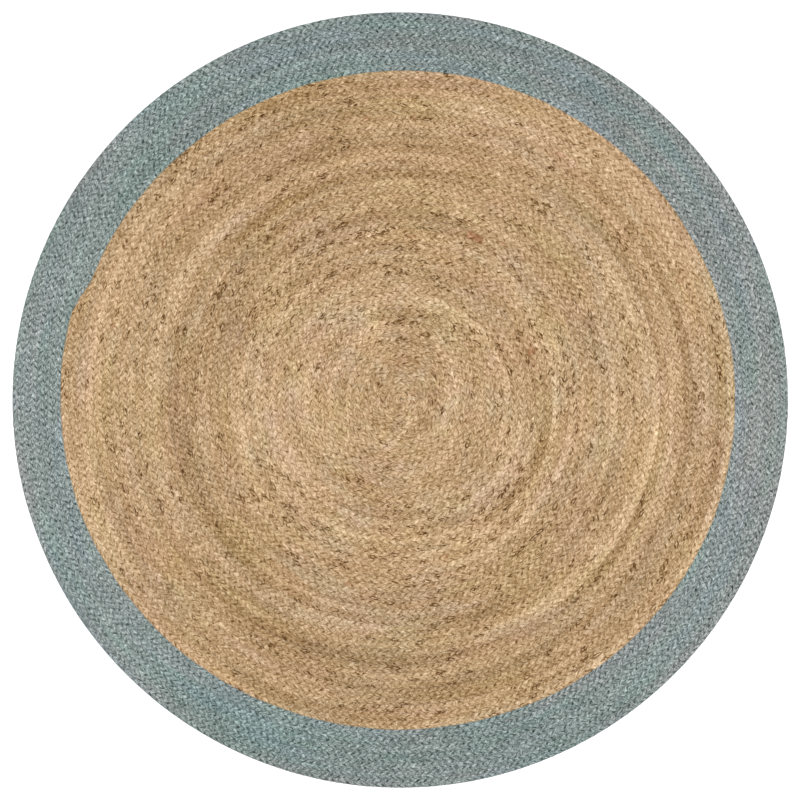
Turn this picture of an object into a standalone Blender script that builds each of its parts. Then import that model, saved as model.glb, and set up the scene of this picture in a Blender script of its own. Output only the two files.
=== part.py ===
# Round braided jute rug, 1.2 m across. A flat three-strand braid is wound from the middle outward,
# clockwise seen from above, and sewn row to row. The natural braid ends at a step, and a dyed braid
# carries the winding on to the rim. The underside lies flat at z = 0, and the middle of the rug is on
# the z axis. Metres, +Z up.

import math

import bmesh
import bpy
from mathutils import Vector

RUG_RADIUS = 0.600
THICKNESS = 0.008  # at the crest of a row
GROOVE_DEPTH = 0.0026  # between two rows
RIM_HEIGHT = 0.0042  # where the outermost row turns under
RIM_TUCK = 0.0024  # how far the underside stands in from the rim
PIECE_GAP = 0.0003  # between the two coils, where they are sewn together

NATURAL_ROWS = 40  # whole rows inside the join at the step, with one more row just before it
BORDER_ROWS = 7  # dyed rows just after the step, with one row fewer just before it
ROW_WIDTH = RUG_RADIUS / (NATURAL_ROWS + BORDER_ROWS)

STEP_DIRECTION = math.radians(159)  # where the natural braid ends, counted from +X towards +Y
STEP_ARC = math.radians(6)  # length of the natural braid's tapered end
RIM_END_START = math.radians(285)  # the dyed braid's end narrows here, clockwise from the step
RIM_END_ARC = math.radians(40)

TURN = math.tau
NATURAL_SEGMENTS = 60
BORDER_SEGMENTS = 120
NATURAL_STEP = TURN / NATURAL_SEGMENTS
MERGE_DISTANCE = 0.00002
ROUNDING = 1e-6  # slack where two counts should be equal

# How far the join swings out of round: a sum of waves, each with its count round the rug, its size and
# the direction of its first crest. The rim is a true circle, so the waves die out towards it and
# towards the middle.
JOIN_WAVES = (
    {"count": 0, "size": -0.0018, "crest_deg": 0},
    {"count": 1, "size": 0.0025, "crest_deg": 90},
    {"count": 2, "size": 0.0048, "crest_deg": 0},
    {"count": 3, "size": 0.0011, "crest_deg": 73},
)

NATURAL_COLOUR = (0.50, 0.34, 0.19, 1.0)
DYED_COLOUR = (0.255, 0.298, 0.286, 1.0)
JUTE_ROUGHNESS = 0.9


def clear_scene():
    for old in list(bpy.data.objects):
        bpy.data.objects.remove(old, do_unlink=True)


def ease(share):
    share = min(1.0, max(0.0, share))
    return share * share * (3 - 2 * share)


def swing(direction, radius):
    # The waves' share grows with the square of the radius up to the join, then falls straight to
    # nothing at the rim.
    join = ROW_WIDTH * (NATURAL_ROWS + 0.5)
    share = (radius / join) ** 2
    if radius > join:
        share = (RUG_RADIUS - radius) / (RUG_RADIUS - join)
    total = 0.0
    for wave in JOIN_WAVES:
        crest = math.radians(wave["crest_deg"])
        total += wave["size"] * math.cos(wave["count"] * (direction - crest))
    return share * total


def place(rows_out, clockwise, inset=0.0):
    # A point on the plan, by its distance in rows from the middle and its angle clockwise from the step.
    direction = STEP_DIRECTION - clockwise
    radius = ROW_WIDTH * rows_out
    if radius > 0:
        radius += swing(direction, radius) - inset
    return Vector((radius * math.cos(direction), radius * math.sin(direction), 0))


def join_rows(clockwise):
    # The join winds out by one row in a turn and drops back to its start along the braid's tapered end.
    taper_start = TURN - STEP_ARC
    if clockwise <= taper_start:
        return NATURAL_ROWS + clockwise / TURN
    share = (clockwise - taper_start) / STEP_ARC
    return NATURAL_ROWS + (1 - share) * taper_start / TURN


def natural_edge(line, clockwise):
    # Line 0 stays at the middle for a turn, and each line ends a turn where the next one starts.
    rows_out = max(0.0, line - 1 + clockwise / TURN)
    inset = 0.0
    if rows_out >= join_rows(clockwise) - ROUNDING:
        rows_out = join_rows(clockwise)
        inset = PIECE_GAP / 2
    return place(rows_out, clockwise, inset)


def border_edge(line, clockwise):
    # Line 0 is the join, on the straights between the natural coil's own columns. The others share
    # out the band.
    if line == 0 or (line == 1 and clockwise <= TURN - STEP_ARC + ROUNDING):
        column = math.floor(clockwise / NATURAL_STEP + ROUNDING)
        angles = (column * NATURAL_STEP, (column + 1) * NATURAL_STEP)
        before, after = (place(join_rows(a), a, -PIECE_GAP / 2) for a in angles)
        return before.lerp(after, clockwise / NATURAL_STEP - column)
    start = NATURAL_ROWS + clockwise / TURN
    rows_here = BORDER_ROWS - ease((clockwise - RIM_END_START) / RIM_END_ARC)
    share = min(1.0, (line - 1) / rows_here)
    return place(start + (NATURAL_ROWS + BORDER_ROWS - start) * share, clockwise)


def coil_point(edge, half_line, clockwise):
    # Even half lines are the grooves between rows. Odd ones are the crests, lower where a row narrows
    # to its end.
    groove = THICKNESS - GROOVE_DEPTH
    line = half_line // 2
    if half_line % 2 == 0:
        point = edge(line, clockwise)
        point.z = groove
        return point
    inner, outer = edge(line, clockwise), edge(line + 1, clockwise)
    point = (inner + outer) / 2
    point.z = groove + GROOVE_DEPTH * min(1.0, (outer - inner).length / ROW_WIDTH)
    return point


def coil_top(edge, rows, segments):
    # A flat grid, bent round into the winding: its x runs clockwise for one turn and its y runs
    # outward by half rows.
    bm = bmesh.new()
    bmesh.ops.create_grid(bm, x_segments=segments, y_segments=2 * rows, size=1)
    for v in bm.verts:
        column = round((v.co.x + 1) / 2 * segments)
        half_line = round((v.co.y + 1) * rows)
        v.co = coil_point(edge, half_line, column * TURN / segments)
    bmesh.ops.remove_doubles(bm, verts=bm.verts, dist=MERGE_DISTANCE)
    return bm


def drop_walls(bm):
    # Walls from the open edges of the top down to the floor. Returns their lower edges.
    edges = [e for e in bm.edges if e.is_boundary]
    walls = bmesh.ops.extrude_edge_only(bm, edges=edges)["geom"]
    for v in (g for g in walls if isinstance(g, bmesh.types.BMVert)):
        v.co.z = 0
    return [g for g in walls if isinstance(g, bmesh.types.BMEdge) and g.is_boundary]


def finish(bm, name, colour):
    bmesh.ops.recalc_face_normals(bm, faces=bm.faces)
    mesh = bpy.data.meshes.new(name)
    bm.to_mesh(mesh)
    bm.free()
    mesh.shade_smooth()
    mesh.set_sharp_from_angle(angle=math.radians(60))
    material = bpy.data.materials.new(name)
    material.use_nodes = True
    shader = material.node_tree.nodes["Principled BSDF"]
    shader.inputs["Base Color"].default_value = colour
    shader.inputs["Roughness"].default_value = JUTE_ROUGHNESS
    shader.inputs["Metallic"].default_value = 0.0
    mesh.materials.append(material)
    made = bpy.data.objects.new(name, mesh)
    bpy.context.scene.collection.objects.link(made)
    return made


def natural_coil():
    bm = coil_top(natural_edge, NATURAL_ROWS + 1, NATURAL_SEGMENTS)
    floor_edges = drop_walls(bm)
    underside = bmesh.ops.holes_fill(bm, edges=floor_edges)["faces"]
    bmesh.ops.poke(bm, faces=underside)
    return finish(bm, "natural_coil", NATURAL_COLOUR)


def dyed_border():
    bm = coil_top(border_edge, BORDER_ROWS + 1, BORDER_SEGMENTS)
    for v in bm.verts:
        if v.is_boundary and v.co.to_2d().length > RUG_RADIUS - ROW_WIDTH:
            v.co.z = RIM_HEIGHT
    floor_edges = drop_walls(bm)
    for v in {v for e in floor_edges for v in e.verts}:
        radius = v.co.to_2d().length
        if radius > RUG_RADIUS - ROW_WIDTH:
            v.co *= (radius - RIM_TUCK) / radius
    bmesh.ops.bridge_loops(bm, edges=floor_edges)
    return finish(bm, "dyed_border", DYED_COLOUR)


clear_scene()
natural_coil()
dyed_border()
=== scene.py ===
# Round braided jute rug: the looks. Each of the two coils is one long plait, wound clockwise from the middle
# outward and cut into pieces. Metres, +Z up, underside at z = 0.

import math

import bmesh
import bpy
import numpy as np
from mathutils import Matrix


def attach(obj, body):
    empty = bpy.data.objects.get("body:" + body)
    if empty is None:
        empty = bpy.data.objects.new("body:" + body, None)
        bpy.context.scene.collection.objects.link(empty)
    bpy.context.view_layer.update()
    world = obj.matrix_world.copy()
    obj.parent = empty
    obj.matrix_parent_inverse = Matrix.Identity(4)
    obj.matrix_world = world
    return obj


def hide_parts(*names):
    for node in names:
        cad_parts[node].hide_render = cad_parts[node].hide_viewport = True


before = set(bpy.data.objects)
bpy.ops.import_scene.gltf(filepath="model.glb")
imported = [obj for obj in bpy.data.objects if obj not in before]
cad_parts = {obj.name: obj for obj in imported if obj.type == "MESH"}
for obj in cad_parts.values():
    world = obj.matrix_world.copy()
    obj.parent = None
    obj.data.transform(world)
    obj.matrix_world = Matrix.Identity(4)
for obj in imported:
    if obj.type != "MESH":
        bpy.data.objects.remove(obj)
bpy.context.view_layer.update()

rug = {  # these repeat the solids' own values, but for the wandering
    "radius": 0.600,
    "naturalRows": 40,
    "borderRows": 7,
    "stepDirection": math.radians(159),
    "stepArc": 6 / 360,  # in turns
    "rimEndStart": 285 / 360,
    "rimEndArc": 40 / 360,
    # Count round the rug, size, direction of the first crest in degrees
    "joinWaves": ((0, -0.0018, 0), (1, 0.0025, 90), (2, 0.0048, 0), (3, 0.0011, 73)),
    "wander": ((0.31, 0.00028), (0.127, 0.00022), (0.071, 0.00016)),  # wavelength, size
    "wanderRows": (3, 2),  # it fades over this many rows at the middle, and at the rim
}
rowWidth = rug["radius"] / (rug["naturalRows"] + rug["borderRows"])
allRows = rug["naturalRows"] + rug["borderRows"]

plait = {
    "steps": 6,  # mesh steps in a stitch
    "tail": 2,  # stitches past the coil's end, all drawn in to it
    "slant": 0.48,  # how many stitches the middle runs ahead of the edges
    "slantBend": 0.8,  # 0 for straight strands, 1 for strands that meet the edges squarely
    "middle": 0.10,  # the middle line lies outward of centre
    "zigzag": 0.13,  # how far the middle line sways
    "roundness": 0.75,  # 1 for a sine, less for a fuller stitch
    "pitchJitter": ((0.35, 0.05), (0.12, 0.06)),  # over how many metres, how much
    "placeJitter": 0.08,  # in stitches
    "slantJitter": 0.12,  # share of the slant
    "heightJitter": 0.0005,
    "notch": 0.02,  # how far the edge draws in between stitches
    "overlap": 0.00020,  # how far a row presses into the next one
    "pastRim": 0.0004,  # the most that the plait may stand past the rim
    "flattenBelow": 0.42,  # a row narrower than this share of a row thins with its width
    "midHeight": 0.0040,  # to which it thins
    "sharpAngle": math.radians(100),
    "mergeDistance": 0.000002,
    "slightest": 0.000001,  # edges under this length are dissolved
    "slack": 1e-6,  # so that rounding doesn't put a whole count into the one before
}
# Round the plait, from the inner edge over the top: place across, height on a stitch and between stitches,
# shift in stitches, place on the map
loopPoints = (
    (-1.00, 0.0072, 0.0064, 0.0, -1.0),
    (-0.70, 0.0079, 0.0060, 0.0, -0.65),
    (-0.30, 0.0080, 0.0061, 0.0, -0.30),
    (0.10, 0.0073, 0.0065, 0.5, 0.0),
    (0.42, 0.0080, 0.0061, 0.5, 0.32),
    (0.74, 0.0079, 0.0060, 0.5, 0.66),
    (1.00, 0.0072, 0.0064, 0.5, 1.0),
    (0.62, 0.0000, 0.0009, 0.5, 1.5),
    (0.00, 0.0002, 0.0008, 0.0, 2.0),
    (-0.62, 0.0000, 0.0009, 0.0, 2.5),
)
topMiddle, underMiddle = 3, 8  # places in loopPoints
edgeLoops = (0, 6, 10)  # the last closes the loop
belowLoops = (7, 8, 9)


def swing(direction, radius):
    join = rowWidth * (rug["naturalRows"] + 0.5)
    beyond = (rug["radius"] - radius) / (rug["radius"] - join)
    share = np.where(radius > join, beyond, (radius / join) ** 2)
    waves = 0
    for count, size, crest in rug["joinWaves"]:
        waves = waves + size * np.cos(count * (direction - math.radians(crest)))
    return share * waves


def wander(line):
    # Hand winding isn't even, apart from the middle and the rim
    along = math.pi * rowWidth * line**2
    total = 0
    for number, (wavelength, size) in enumerate(rug["wander"]):
        total = total + size * np.sin(math.tau * along / wavelength + 2.1 * number)
    innerRows, outerRows = rug["wanderRows"]
    fade = np.clip(line / innerRows, 0, 1) * np.clip((allRows - line) / outerRows, 0, 1)
    return total * fade


def edgeRadius(rowsOut, direction, line):
    radius = rowWidth * rowsOut
    return radius + swing(direction, radius) + wander(line)


def joinRows(turn):
    # turn is 0 to 1, clockwise from the step
    start = 1 - rug["stepArc"]
    tapered = rug["naturalRows"] + (1 - (turn - start) / rug["stepArc"]) * start
    return np.where(turn <= start, rug["naturalRows"] + turn, tapered)


def naturalEdges(turns):
    direction = rug["stepDirection"] - math.tau * turns
    inner = np.maximum(turns - 1, 0)
    lastTurn = np.clip(turns - rug["naturalRows"], 0, 1)
    outer = np.where(turns < rug["naturalRows"], turns, joinRows(lastTurn))
    return direction, edgeRadius(inner, direction, inner), edgeRadius(outer, direction, outer)


def borderLine(line, turn):
    start = rug["naturalRows"] + turn
    share = np.clip((turn - rug["rimEndStart"]) / rug["rimEndArc"], 0, 1)
    rowsHere = rug["borderRows"] - share * share * (3 - 2 * share)
    return start + (allRows - start) * np.clip((line - 1) / rowsHere, 0, 1)


def borderEdges(turns):
    line = np.floor(turns)
    turn = turns - line
    direction = rug["stepDirection"] - math.tau * turn
    inner = np.where(turns < 1, joinRows(turn), borderLine(line, turn))
    outer = borderLine(line + 1, turn)
    innerWander = np.where(turns < 1, inner, turns + rug["naturalRows"] - 1)
    return (
        direction,
        edgeRadius(inner, direction, innerWander),
        edgeRadius(outer, direction, turns + rug["naturalRows"]),
    )


coils = {
    "natural": {
        "node": "natural_coil",
        "slot": "natural_jute",
        "edges": naturalEdges,
        "from": 0.0,
        "to": rug["naturalRows"] + 1.0,
        "pitches": ((0.0, 0.0125), (0.29, 0.0125), (0.33, 0.01183), (0.52, 0.01183)),  # radius, stitch
        "pieces": 8,
        "cutPower": 0.5,  # where it is cut: 0.5 for equal lengths of a spiral that starts at the middle
        "seed": 11,
        "unevenness": ((0.9, 0.020), (0.3, 0.014), (0.08, 0.015)),  # over how many metres, how much
        "stretches": (  # paler and darker stretches of the plait: from turn, to turn, lift
            (0.0, 5.2, 0.04),
            (5.2, 7.2, 0.04),
            (11.8, 12.3, 0.07),
            (12.8, 14.2, 0.07),
            (14.8, 15.2, 0.06),
            (15.4, 16.3, 0.06),
            (16.3, 20.5, 0.035),
            (17.6, 18.1, 0.07),
            (18.4, 18.6, -0.08),
            (19.2, 19.8, 0.09),
            (21.4, 21.7, 0.11),
            (25.6, 26.3, -0.07),
            (26.8, 27.0, -0.07),
            (27.6, 28.3, -0.08),
            (28.6, 28.7, -0.10),
            (29.7, 29.9, 0.07),
            (30.3, 30.8, 0.10),
            (31.1, 31.3, -0.07),
            (31.3, 31.6, 0.10),
            (32.0, 32.9, -0.08),
            (33.6, 33.8, -0.08),
            (35.3, 35.7, -0.07),
            (36.1, 36.2, -0.09),
            (37.5, 37.7, -0.09),
            (37.8, 38.5, 0.05),
        ),
        "rust": ((17.382, 17.389), (22.253, 22.268)),  # reddish stretches, in turns
    },
    "border": {
        "node": "dyed_border",
        "slot": "dyed_jute",
        "edges": borderEdges,
        "from": 1 - rug["stepArc"],
        "to": rug["borderRows"] + rug["rimEndStart"] + rug["rimEndArc"],
        "pitches": ((0.5, 0.01106), (0.6, 0.01106)),
        "pieces": 2,
        "cutPower": 1.0,
        "seed": 23,
        "unevenness": ((0.9, 0.012), (0.3, 0.012), (0.08, 0.015)),
        "stretches": (),
        "rust": (),
    },
}


samplesPerTurn = 400
softEnd = 0.2  # share of a paler or darker stretch over which it sets in


def measureCoil(coil):
    # How many stitches have been made after each share of a turn, along the middle of the row
    turns = np.linspace(coil["from"], coil["to"], samplesPerTurn * round(coil["to"] - coil["from"]))
    direction, inner, outer = coil["edges"](turns)
    middle = (inner + outer) / 2
    random = np.random.default_rng(coil["seed"])
    radii, pitches = zip(*coil["pitches"])
    step = math.tau * (turns[1] - turns[0])
    lengths = step * (middle[1:] + middle[:-1]) / 2
    metres = np.cumsum(lengths)
    pitch = np.interp((middle[1:] + middle[:-1]) / 2, radii, pitches)
    pitch = pitch * (1 + slowNoise(random, metres, plait["pitchJitter"]))
    along = np.concatenate([[0], np.cumsum(lengths / pitch)])
    count = round(along[-1])
    coil["turns"], coil["along"] = turns, along * count / along[-1]
    coil["stitches"], coil["length"] = count, float(lengths.sum())
    columns = (2, count + plait["tail"] + 2)
    coil["placeJitter"] = random.uniform(-1, 1, columns) * plait["placeJitter"]
    coil["slantJitter"] = random.uniform(-1, 1, columns) * plait["slantJitter"]
    coil["heightJitter"] = random.normal(0, 1, columns).clip(-2, 2) * plait["heightJitter"]
    # How much paler the jute is, along the plait
    tone = slowNoise(random, np.concatenate([[0], metres]), coil["unevenness"])
    for start, end, lift in coil["stretches"]:
        soft = softEnd * (end - start)
        tone += np.interp(turns, (start, start + soft, end - soft, end), (0, lift, lift, 0))
    coil["tone"] = tone


def pieceMarks(coil):
    # The stitches at which the coil is cut into pieces
    shares = np.arange(coil["pieces"]) / coil["pieces"]
    cuts = coil["from"] + (coil["to"] - coil["from"]) * shares ** coil["cutPower"]
    marks = np.rint(np.interp(cuts, coil["turns"], coil["along"]))
    return [*marks.astype(int).tolist(), coil["stitches"] + plait["tail"]]


def slowNoise(random, metres, waves):
    total = np.zeros(len(metres))
    for period, size in waves:
        knots = random.normal(0, size, math.ceil(metres[-1] / period) + 2)
        total += np.interp(metres / period, np.arange(len(knots)), knots)
    return total


def plaitPoints(coil, stitch, loop):
    # The place of each point of the grid on the wound plait. stitch counts along it, loop round it.
    table = np.array(loopPoints)
    across, high, low, shift, _ = table[loop % len(table)].T
    phase = stitch + shift
    within = phase - np.floor(phase)
    column = (shift > 0).astype(int)
    lobe = np.floor(phase + plait["slack"]).astype(int)
    # On the two middle lines the columns cross twice in a stitch
    crossing = np.isin(loop, (topMiddle, underMiddle))
    dome = np.abs(np.sin(math.pi * within)) ** plait["roundness"]
    dome = np.where(crossing, np.abs(np.sin(math.tau * within)) ** plait["roundness"], dome)
    height = low + (high - low) * dome
    lift = coil["heightJitter"][column, lobe] * dome * (loop < belowLoops[0])
    height = height + np.where(crossing, lift / 2, lift)
    side = np.sign(across)
    edge = np.isin(loop, edgeLoops)
    across = np.where(edge, across - side * plait["notch"] * (1 - dome), across)
    sway = plait["zigzag"] * np.sin(math.tau * stitch)
    across = across + np.where(crossing, sway, 0)
    # The slant: the middle of the top runs ahead, the edges follow, and the middle of the underside is last
    middle = plait["middle"]
    reach = np.where(across > middle, (across - middle) / (1 - middle), (middle - across) / (1 + middle))
    quarter = math.pi / 2 * plait["slantBend"]
    lag = plait["slant"] * np.sin(quarter * np.clip(reach, 0, 1)) / math.sin(quarter)
    below = np.isin(loop, belowLoops)
    lag = np.where(below, plait["slant"] * (2 - np.abs(across)), lag)
    lag = np.where(loop == topMiddle, 0, lag)

    def uneven(jitter):
        return jitter[column, lobe] * (1 - within) + jitter[column, lobe + 1] * within

    lag = lag * (1 + np.where(edge, 0, uneven(coil["slantJitter"])))
    along = stitch - lag + np.where(crossing, 0, uneven(coil["placeJitter"]))
    along = np.clip(along, 0, coil["stitches"])
    turns = np.interp(along, coil["along"], coil["turns"])
    direction, inner, outer = coil["edges"](turns)
    width = outer - inner
    inner, outer = inner - plait["overlap"], outer + plait["overlap"]
    outer = np.minimum(outer, rug["radius"] + plait["pastRim"])
    radius = inner + (outer - inner) * (across + 1) / 2
    radius = np.maximum(radius, 0)
    full = np.clip(width / rowWidth / plait["flattenBelow"], 0, 1)
    height = plait["midHeight"] + (height - plait["midHeight"]) * full
    return np.stack([radius * np.cos(direction), radius * np.sin(direction), height], 1), turns


def windPiece(name, coil, first, last):
    steps, around = (last - first) * plait["steps"], len(loopPoints)
    bm = bmesh.new()
    bmesh.ops.create_grid(bm, x_segments=steps, y_segments=around, size=1)
    mesh = bpy.data.meshes.new(name)
    bm.to_mesh(mesh)
    bm.free()
    flat = np.empty(3 * len(mesh.vertices), np.float32)
    mesh.vertices.foreach_get("co", flat)
    flat = flat.reshape(-1, 3)
    step = np.rint((flat[:, 0] + 1) / 2 * steps).astype(int)
    loop = np.rint((flat[:, 1] + 1) / 2 * around).astype(int)
    stitch = first + step / plait["steps"]
    placed, turns = plaitPoints(coil, stitch, loop)
    mesh.vertices.foreach_set("co", placed.astype(np.float32).ravel())
    addMaps(mesh, first, steps, step, loop)
    rust = sum(np.where((turns > start) & (turns < end), 1.0, 0.0) for start, end in coil["rust"])
    addAttribute(mesh, "stretchTone", np.interp(turns, coil["turns"], coil["tone"]))
    addAttribute(mesh, "rust", rust + np.zeros(len(turns)))
    bm = bmesh.new()
    bm.from_mesh(mesh)
    seam = [v for v in bm.verts if v.is_boundary]
    bmesh.ops.remove_doubles(bm, verts=seam, dist=plait["mergeDistance"])
    bmesh.ops.dissolve_degenerate(bm, edges=bm.edges, dist=plait["slightest"])
    ends = [e for e in bm.edges if e.is_boundary]
    bmesh.ops.holes_fill(bm, edges=ends)
    bmesh.ops.recalc_face_normals(bm, faces=bm.faces)
    bm.to_mesh(mesh)
    bm.free()
    mesh.shade_smooth()
    mesh.set_sharp_from_angle(angle=plait["sharpAngle"])
    piece = bpy.data.objects.new(name, mesh)
    bpy.context.scene.collection.objects.link(piece)
    return piece


def addAttribute(mesh, name, values):
    mesh.attributes.new(name, "FLOAT", "POINT").data.foreach_set("value", values.astype(np.float32))


bakeMargin = 0.002
bakeUp = (0.03, 0.71, 0.97)  # the inner edge, the outer edge and the inner edge again, in a row of the map


def addMaps(mesh, first, steps, step, loop):
    # "braid" counts stitches along, and half widths across: -1 to 1 on top, and on to 3 underneath.
    # "OFBake" lays the plait out in rows.
    corners = np.empty(len(mesh.loops), np.int32)
    mesh.loops.foreach_get("vertex_index", corners)
    cornerStep, cornerLoop = step[corners], loop[corners]
    across = np.array([point[4] for point in loopPoints] + [3.0])
    braid = np.stack([first + cornerStep / plait["steps"], across[cornerLoop]], 1)
    mesh.uv_layers.new(name="braid").uv.foreach_set("vector", braid.astype(np.float32).ravel())
    rows = max(1, round(math.sqrt(steps / plait["steps"])))
    perRow = math.ceil(steps / rows)
    start = np.repeat(cornerStep.reshape(-1, 4).min(1), 4)
    row = start // perRow
    upRow = np.interp(across[cornerLoop], (-1, 1, 3), bakeUp)
    alongRow = (cornerStep - row * perRow) / perRow * (1 - 2 * bakeMargin) + bakeMargin
    bake = np.stack([alongRow, (row + upRow) / rows], 1)
    mesh.uv_layers.new(name="OFBake").uv.foreach_set("vector", bake.astype(np.float32).ravel())


class Value:
    # A socket that takes part in sums, each of which adds its Math node
    def __init__(self, shader, socket):
        self.shader, self.socket = shader, socket

    def math(self, operation, *inputs):
        return self.shader.node("ShaderNodeMath", {"operation": operation}, dict(enumerate(inputs)))

    def __add__(self, other):
        return self.math("ADD", self, other)

    def __sub__(self, other):
        return self.math("SUBTRACT", self, other)

    def __rsub__(self, other):
        return self.math("SUBTRACT", other, self)

    def __mul__(self, other):
        return self.math("MULTIPLY", self, other)

    def __truediv__(self, other):
        return self.math("DIVIDE", self, other)

    def __lt__(self, other):
        return self.math("LESS_THAN", self, other)

    __radd__, __rmul__ = __add__, __mul__

    def floor(self):
        return self.math("FLOOR", self)

    def wrap(self, size):
        return self.math("FLOORED_MODULO", self, size)

    def abs(self):
        return self.math("ABSOLUTE", self)

    def atMost(self, other):
        return self.math("MINIMUM", self, other)

    def power(self, exponent):
        return self.math("POWER", self, exponent)

    def rise(self, low, high, below=0.0, above=1.0):
        # A smooth step from below to above
        settings = {"interpolation_type": "SMOOTHSTEP"}
        inputs = {0: self, 1: low, 2: high, 3: below, 4: above}
        return self.shader.node("ShaderNodeMapRange", settings, inputs)


class Shader:
    def __init__(self, name):
        self.material = bpy.data.materials.new(name)
        self.material.use_nodes = True
        self.tree = self.material.node_tree
        self.surface = self.tree.nodes["Principled BSDF"]

    def node(self, kind, settings, inputs, output=0):
        added = self.tree.nodes.new(kind)
        for name, value in settings.items():
            if name == "stops":
                self.setStops(added.color_ramp, value)
            else:
                setattr(added, name, value)
        self.fill(added, inputs)
        return Value(self, added.outputs[output])

    def setStops(self, ramp, stops):
        for place, colour in stops[1:-1]:
            ramp.elements.new(place)
        for element, (place, colour) in zip(ramp.elements, stops):
            element.position, element.color = place, colour

    def fill(self, node, inputs):
        for name, value in inputs.items():
            if isinstance(value, Value):
                self.tree.links.new(value.socket, node.inputs[name])
            else:
                node.inputs[name].default_value = value

    def vector(self, x, y, z=0.0):
        return self.node("ShaderNodeCombineXYZ", {}, {0: x, 1: y, 2: z})

    def noise(self, vector, scale=1.0, detail=2.0, roughness=0.5):
        inputs = {"Vector": vector, "Scale": scale, "Detail": detail, "Roughness": roughness}
        return self.node("ShaderNodeTexNoise", {}, inputs, "Fac")

    def scatter(self, vector, output="Value"):
        return self.node("ShaderNodeTexWhiteNoise", {}, {"Vector": vector}, output)

    def mix(self, share, first, second, blend="MIX"):
        settings = {"data_type": "RGBA", "blend_type": blend}
        return self.node("ShaderNodeMix", settings, {0: share, 6: first, 7: second}, 2)

    def tinted(self, colour, tint):
        return self.mix(1.0, colour, (*tint, 1), "MULTIPLY")

    def parts(self, vector):
        added = self.tree.nodes.new("ShaderNodeSeparateXYZ")
        self.fill(added, {0: vector})
        return [Value(self, socket) for socket in added.outputs]


# A tone runs from 0 for dark to 1 for pale. Keys that end in Tone say how far each cause moves it.
jute = {
    "natural": {
        "dark": (116, 88, 52),  # at tones 0 and 1, in screen colours from 0 to 255
        "pale": (242, 218, 188),
        "middleTone": 0.332,
        "sidesLightTone": 0.02,  # painted light: how much paler at the left and right than at the top and bottom
        "lobeShadeTone": 0.10,  # painted shade and highlight: darker at the edges of a stitch, paler at its middle
        "stitchTone": 0.12,  # from stitch to stitch
        "clumps": (3.6, 2.7),  # how many in a stitch, and in half the plait's width
        "clumpTone": 1.90,
        "fibreTone": 0.42,
        "driftTone": 0.12,  # along each strand
        "streakTone": 0.40,  # over several rows
        "patchTone": 0.05,
        "creaseTone": 0.26,  # shade between stitches
        "tints": ((1.03, 0.96, 0.95), (1.0, 1.02, 0.88), (0.94, 1.02, 1.13), (1.02, 0.99, 1.10)),
        "hueScale": 15.0,  # patches of hue to the metre
        "tintShare": 0.6,
        "greyShare": 0.0,
        "bark": 0.014,  # share of the stitches
        "barkRuns": 0.045,  # share of the lengths of a strand
        "barkTone": 0.62,
        "barkRing": (0.25, 0.08, 2.0),  # most bark at this radius, over this width, how much more
        "rustyStitches": 0.003,
    },
    "border": {
        "dark": (72, 82, 79),
        "pale": (204, 212, 210),
        "middleTone": 0.303,
        "sidesLightTone": 0.036,
        "lobeShadeTone": 0.20,
        "stitchTone": 0.07,
        "clumps": (3.8, 3.1),
        "clumpTone": 2.40,
        "fibreTone": 0.30,
        "driftTone": 0.06,
        "streakTone": 0.08,
        "patchTone": 0.06,
        "creaseTone": 0.26,
        "tints": ((1.055, 0.985, 1.0), (0.91, 1.03, 0.99), (0.95, 1.0, 1.07)),
        "hueScale": 16.0,
        "tintShare": 0.9,
        "greyShare": 0.6,
        "bark": 0.002,
        "barkRuns": 0.001,
        "barkTone": 0.35,
        "barkRing": (0.55, 0.08, 0.0),
        "rustyStitches": 0.0,
    },
}
rustTint = (0.78, 0.61, 0.53)
greyTint = (1.10, 0.975, 0.985)
greySide = (0.966, 0.259)  # the border is greyer towards this side
greySideEdge = (0.5, 1.0)
greyRim = (0.582, 0.592)  # and over these radii
greyRimShare = 0.6
lowestTone = -0.35  # the shade between stitches goes below 0
rampPlaces = (0, 0.2, 0.4, 0.6, 0.8, 1)

# The sizes of the patterns: how many to a stitch, or to the metre where it says so
grain = {
    "wobble": (2.3, 2.4),  # along and across: how unevenly the stitches meet
    "wobbleSize": 0.5,
    "fibres": (15.0, 1.3),
    "drift": 0.06,
    "streaks": (1.2, 30.0),  # round the rug, and to the metre outward
    "patches": 30.0,  # to the metre
    "lobeMean": 0.67,
    "creaseReach": 0.26,  # of a stitch
    "creaseSwell": (0.35, 0.95),  # a crease is open in the middle of the half row
    "open": (1.1, 1.4),
    "openRange": (0.40, 0.72, 0.3, 1.8),  # from closed to open creases
    "barkRun": 5,  # stitches
    "barkRunChance": 0.6,  # share of a run's stitches
    "spots": (2.2, 3.2),
    "spotEdge": (0.47, 0.57),
    "hueTurn": 7,  # hue changes this much less round the rug than hueScale says
    "hueOut": 1.5,  # and this much more outward
    "hueEdge": (0.46, 0.66),
    "ridges": 7.0,
    "fuzz": 1400.0,  # to the metre
    "ridgeShare": 0.8,
}
relief = {"Strength": 0.6, "Distance": 0.0010}
finish = {"Specular IOR Level": 0.25, "Sheen Weight": 0.05, "Sheen Roughness": 0.5}
leastRoughness, fibreRoughness = 0.82, 0.14


def screenToLight(level):
    level = level / 255
    return level / 12.92 if level < 0.04045 else ((level + 0.055) / 1.055) ** 2.4


def toneStops(look):
    # The ramp takes in tones from lowestTone to 1
    stops = []
    for place in rampPlaces:
        tone = lowestTone + (1 - lowestTone) * place
        levels = [a + (b - a) * tone for a, b in zip(look["dark"], look["pale"])]
        stops.append((place, (*(screenToLight(level) for level in levels), 1)))
    return stops


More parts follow.
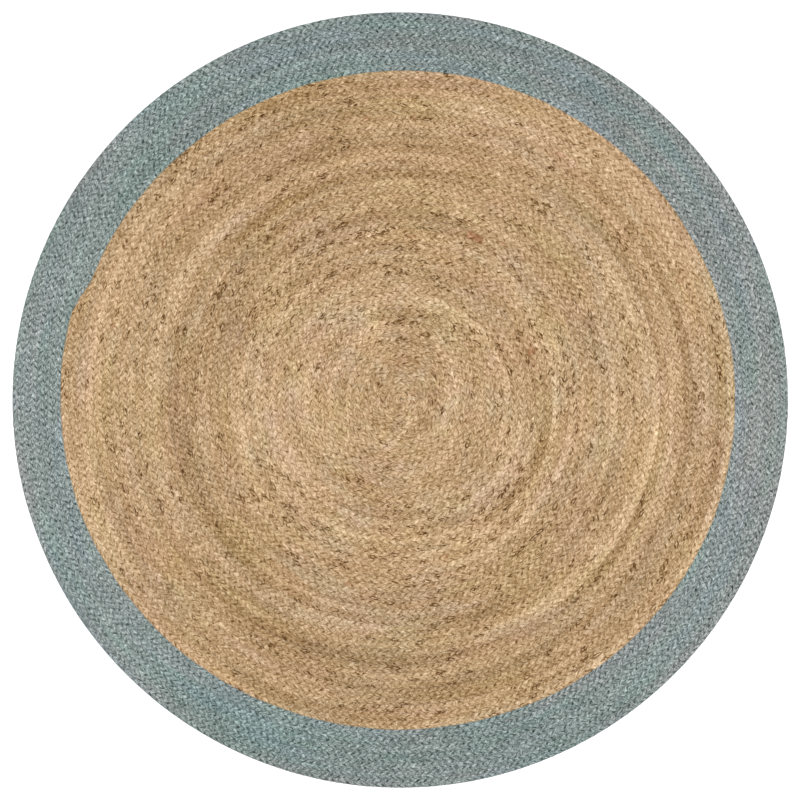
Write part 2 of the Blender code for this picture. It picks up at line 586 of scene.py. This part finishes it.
def juteMaterial(name, look):
    # A bare number in a pattern's vector only sets that pattern apart from the others
    shader = Shader(name)
    uv = shader.node("ShaderNodeUVMap", {"uv_map": "braid"}, {})
    along, across, _ = shader.parts(uv)
    place = shader.node("ShaderNodeTexCoord", {}, {}, "Object")
    x, y, _ = shader.parts(place)
    radius = (x * x + y * y).power(0.5)

    # Which stitch this is. The outer columns, 1 on top and 2 below, lie half a stitch behind the inner ones.
    column = (across + 1).floor()
    outer = (column - 1.5).abs() < 1
    wobbleVector = shader.vector(along * grain["wobble"][0], across * grain["wobble"][1], 7.0)
    wobble = shader.noise(wobbleVector, detail=1.0)
    shifted = along + 0.5 * outer + grain["wobbleSize"] * (wobble - 0.5)
    stitch = shifted.floor()
    within = shifted - stitch
    key = shader.vector(stitch, column, 0.5)
    chance = shader.parts(shader.scatter(key, "Color"))
    strand = (2 * stitch - outer + 1).wrap(3)
    part = across + 1 - column
    lobe = within * (1 - within) * 4  # 1 at the middle of the stitch
    swell = part * (1 - part) * 4  # 1 at the middle of the half row
    perStitch, perHalf = look["clumps"]
    clumpVector = shader.vector(shifted * perStitch, across * perHalf, stitch * 3.7)
    clumps = shader.noise(clumpVector, detail=3.0, roughness=0.7)
    fibreVector = shader.vector(shifted * grain["fibres"][0], across * grain["fibres"][1], stitch * 2.3)
    fibres = shader.noise(fibreVector)

    # Tone: along the plait and each strand, over several rows and in patches, with painted shade and
    # highlight on each stitch and painted light at the sides of the rug
    drift = shader.noise(shader.vector(along * grain["drift"], strand * 19.0))
    streakTurn, streakOut = grain["streaks"]
    streak = shader.noise(shader.vector(x / radius * streakTurn, y / radius * streakTurn, radius * streakOut))
    patchy = shader.noise(place, scale=grain["patches"])
    stretch = shader.node("ShaderNodeAttribute", {"attribute_name": "stretchTone"}, {}, "Fac")
    tone = look["middleTone"] + stretch + look["stitchTone"] * (chance[0] - 0.5)
    # Painted shade and highlight: each stitch is paler at its middle and darker towards its edges, as light
    # falls on its round top
    tone = tone + look["lobeShadeTone"] * (lobe - grain["lobeMean"]) * swell
    tone = tone + look["clumpTone"] * (clumps - 0.5) + look["fibreTone"] * (fibres - 0.5)
    tone = tone + look["driftTone"] * (drift - 0.5)
    # Painted light: rows at the left and right of the rug are paler than at the top and bottom, as they catch
    # the light differently by their direction
    tone = tone + look["sidesLightTone"] * (x * x - y * y) / (radius * radius)
    tone = tone + look["streakTone"] * (streak - 0.5) + look["patchTone"] * (patchy - 0.5)

    # Shade between stitches, open in places and closed in others
    toEdge = within.atMost(1 - within)
    crease = toEdge.rise(0.0, grain["creaseReach"], 1.0, 0.0) * swell.rise(*grain["creaseSwell"])
    openVector = shader.vector(along * grain["open"][0], across * grain["open"][1], 3.0)
    opened = shader.noise(openVector, detail=1.0).rise(*grain["openRange"])
    tone = tone - look["creaseTone"] * opened * crease

    # Bits of bark, on single stitches and on short lengths of one strand
    ringRadius, ringWidth, ringMore = look["barkRing"]
    more = (radius - ringRadius).abs().rise(0.0, ringWidth, 1 + ringMore, 1.0)
    run = shader.scatter(shader.vector((along / grain["barkRun"]).floor(), strand, 31.0))
    inRun = (chance[1] < grain["barkRunChance"]) * (run < look["barkRuns"] * more)
    barky = (chance[1] < look["bark"] * more) + inRun
    spotVector = shader.vector(shifted * grain["spots"][0], across * grain["spots"][1], stitch)
    spot = shader.noise(spotVector).rise(*grain["spotEdge"])
    tone = tone - look["barkTone"] * barky.atMost(1.0) * spot
    rampPlace = (tone - lowestTone) / (1 - lowestTone)
    colour = shader.node("ShaderNodeValToRGB", {"stops": toneStops(look)}, {0: rampPlace})

    # Hue: patches of redder, yellower and greyer yarn, longer along the rows than across them
    hueTurn = look["hueScale"] / grain["hueTurn"]
    hueOut = look["hueScale"] * grain["hueOut"]
    hueVector = shader.vector(x / radius * hueTurn, y / radius * hueTurn, radius * hueOut)
    for number, tint in enumerate(look["tints"]):
        moved = shader.node("ShaderNodeMapping", {}, {0: hueVector, 1: (3.1 * number, 1.7, 5.3 * number)})
        patch = shader.noise(moved, detail=4.0, roughness=0.6).rise(*grain["hueEdge"])
        colour = shader.mix(look["tintShare"] * patch, colour, shader.tinted(colour, tint))
    if look["greyShare"]:
        side = ((greySide[0] * x + greySide[1] * y) / radius).rise(*greySideEdge)
        greyer = (side + radius.rise(*greyRim, 0.0, greyRimShare)).atMost(1.0)
        colour = shader.mix(look["greyShare"] * greyer, colour, shader.tinted(colour, greyTint))
    rust = shader.node("ShaderNodeAttribute", {"attribute_name": "rust"}, {}, "Fac")
    rusty = (rust + (chance[2] < look["rustyStitches"]) * spot).atMost(1.0)
    colour = shader.mix(rusty, colour, shader.tinted(colour, rustTint))

    # Relief of the fibres
    ridges = shader.noise(shader.vector(shifted * grain["ridges"], across, stitch * 1.9), detail=3.0)
    fuzz = shader.noise(place, scale=grain["fuzz"])
    height = ridges * grain["ridgeShare"] + fuzz * (1 - grain["ridgeShare"])
    bump = shader.node("ShaderNodeBump", {}, {**relief, "Height": height})
    roughness = leastRoughness + fibreRoughness * fibres
    shader.fill(shader.surface, {**finish, "Base Color": colour, "Roughness": roughness, "Normal": bump})
    return shader.material


studio = {
    "viewWidth": 1.2382,  # what the photograph takes in, at the rug
    "cameraHeight": 3.2,
    "rugHeight": 0.007,
    "aside": (-0.00037, -0.00003),  # the camera isn't quite over the middle
    "sensor": 36,
    "farthest": 50,
    "world": 0.62,
    "softbox": 190.0,
    "softboxHeight": 4.2,
    "softboxSize": 2.6,
    "floorSize": 5,
    "floorColour": (0.93, 0.93, 0.93, 1),
}


def addFloor():
    bm = bmesh.new()
    bmesh.ops.create_grid(bm, x_segments=1, y_segments=1, size=studio["floorSize"])
    mesh = bpy.data.meshes.new("studioFloor")
    bm.to_mesh(mesh)
    bm.free()
    shader = Shader("paleFloor")
    shader.fill(shader.surface, {"Base Color": studio["floorColour"], "Roughness": 0.9})
    mesh.materials.append(shader.material)
    floor = bpy.data.objects.new("studioFloor", mesh)
    bpy.context.scene.collection.objects.link(floor)


def addCamera():
    data = bpy.data.cameras.new("camera")
    data.sensor_width = studio["sensor"]
    data.lens = studio["sensor"] * (studio["cameraHeight"] - studio["rugHeight"]) / studio["viewWidth"]
    data.clip_end = studio["farthest"]
    camera = bpy.data.objects.new("camera", data)
    camera.location = (*studio["aside"], studio["cameraHeight"])
    bpy.context.scene.collection.objects.link(camera)
    bpy.context.scene.camera = camera


def addLight():
    world = bpy.data.worlds.new("studio")
    bpy.context.scene.world = world
    world.use_nodes = True
    background = world.node_tree.nodes["Background"]
    background.inputs["Color"].default_value = (1, 1, 1, 1)
    background.inputs["Strength"].default_value = studio["world"]
    data = bpy.data.lights.new("softbox", "AREA")
    data.shape, data.size = "DISK", studio["softboxSize"]
    data.energy = studio["softbox"]
    lamp = bpy.data.objects.new("softbox", data)
    lamp.location = (0, 0, studio["softboxHeight"])
    bpy.context.scene.collection.objects.link(lamp)
    bpy.context.scene.view_settings.view_transform = "Standard"


addCamera()
addLight()
addFloor()
print("studio ready")

for kind, coil in coils.items():
    measureCoil(coil)
    material = juteMaterial(f"{kind}Jute", jute[kind])
    marks = pieceMarks(coil)
    for number, (first, last) in enumerate(zip(marks, marks[1:]), 1):
        piece = windPiece(f"{kind}_braid_{number}", coil, first, last)
        piece.data.materials.append(material)
        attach(piece, "root")
        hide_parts(coil["node"])
        length = coil["length"] * (min(last, coil["stitches"]) - first) / coil["stitches"]
    print(f"{kind}: {coil['stitches']} stitches, {coil['length']:.1f} m of braid")
